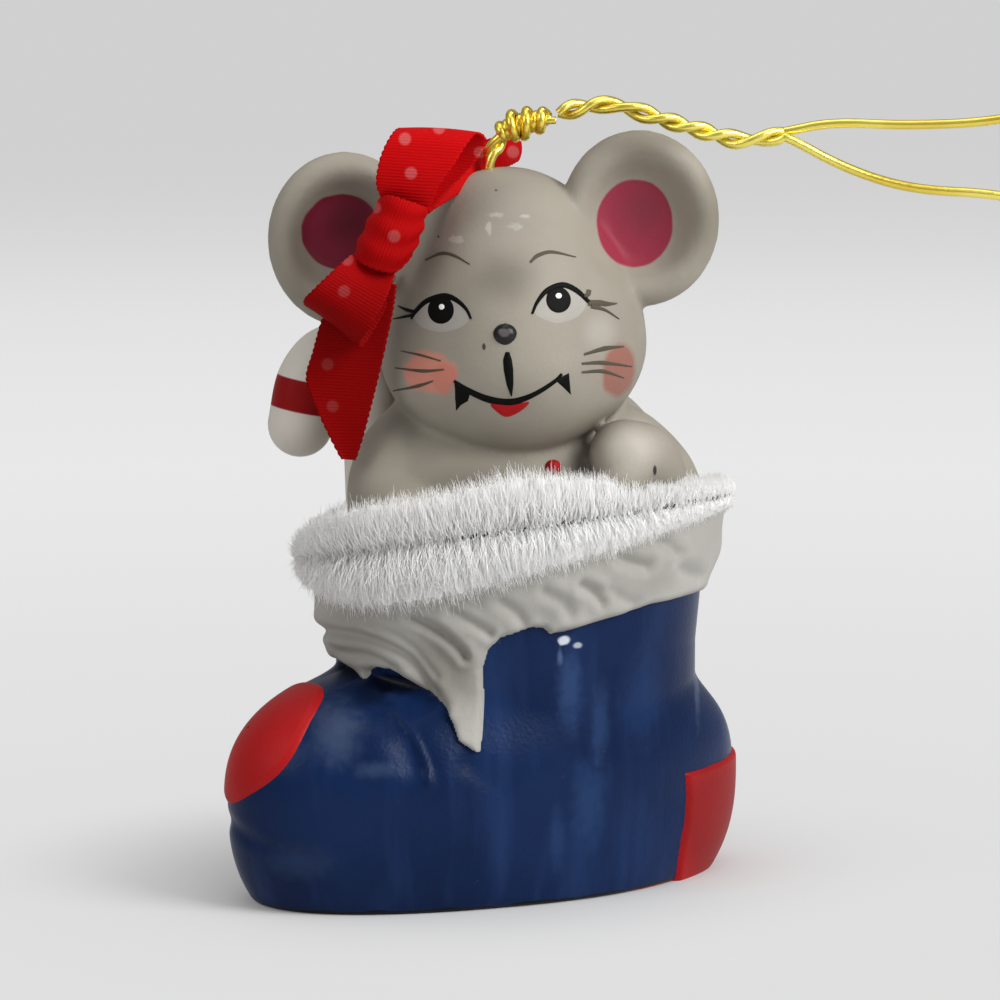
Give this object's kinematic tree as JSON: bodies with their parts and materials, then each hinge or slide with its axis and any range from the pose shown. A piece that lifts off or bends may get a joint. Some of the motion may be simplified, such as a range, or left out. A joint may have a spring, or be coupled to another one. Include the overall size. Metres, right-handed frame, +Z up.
{
  "type": "mouse in a boot hanging ornament",
  "caption": "Painted cast figurine of a mouse sitting in a boot, trimmed with a chenille stem and a ribbon bow, with a gold cord loop to hang it by.",
  "frame": {"origin": "centre of the sole, on the surface the boot stands on", "axes": "+Z up, the mouse looks along -Y, X runs to the mouse's left"},
  "size_m": [0.0857, 0.0382, 0.0748],
  "materials": {
    "blue_paint": "glossy navy paint on cast resin",
    "white_paint": "satin off-white paint on cast resin",
    "red_paint": "satin red paint on cast resin",
    "grey_paint": "satin grey paint on cast resin",
    "black_paint": "gloss black paint",
    "wire": "dull twisted wire",
    "pile": "white chenille pile",
    "ribbon": "red satin ribbon with pale dots",
    "glue": "hardened glue",
    "gold_cord": "gold foil wrapped over thread"
  },
  "bodies": {
    "figurine": {"boot": "blue_paint", "boot_cuff": "white_paint", "toe_patch": "red_paint", "heel_patch": "red_paint", "mouse_torso": "grey_paint", "mouse_head": "grey_paint", "nose": "black_paint", "right_ear": "grey_paint", "left_ear": "grey_paint", "right_arm": "grey_paint", "left_arm": "grey_paint", "candy_cane": "white_paint", "chest_button": "red_paint", "trim_wire": "wire", "trim_pile": "pile", "bow_upper_loop": "ribbon", "bow_lower_loop": "ribbon", "bow_knot": "ribbon", "bow_front_tail": "ribbon", "bow_back_tail": "ribbon", "bow_glue": "glue"},
    "hanger_tie": {"hanger_stopper": "gold_cord", "hanger_stem": "gold_cord", "hanger_knot": "gold_cord"},
    "hanger": {"hanger_twist": "gold_cord", "hanger_loop": "gold_cord"}
  },
  "joints": [
    {"name": "hanger_turn", "type": "hinge", "parent": "figurine", "child": "hanger_tie", "pos_m": [0.00043, -0.00141, 0.06783], "axis": [0, 0, 1], "range_deg": [-40, 40]},
    {"name": "hanger_swing", "type": "hinge", "parent": "hanger_tie", "child": "hanger", "pos_m": [0.00685, -0.00141, 0.07294], "axis": [0, -1, 0], "range_deg": [0, 90]}
  ]
}
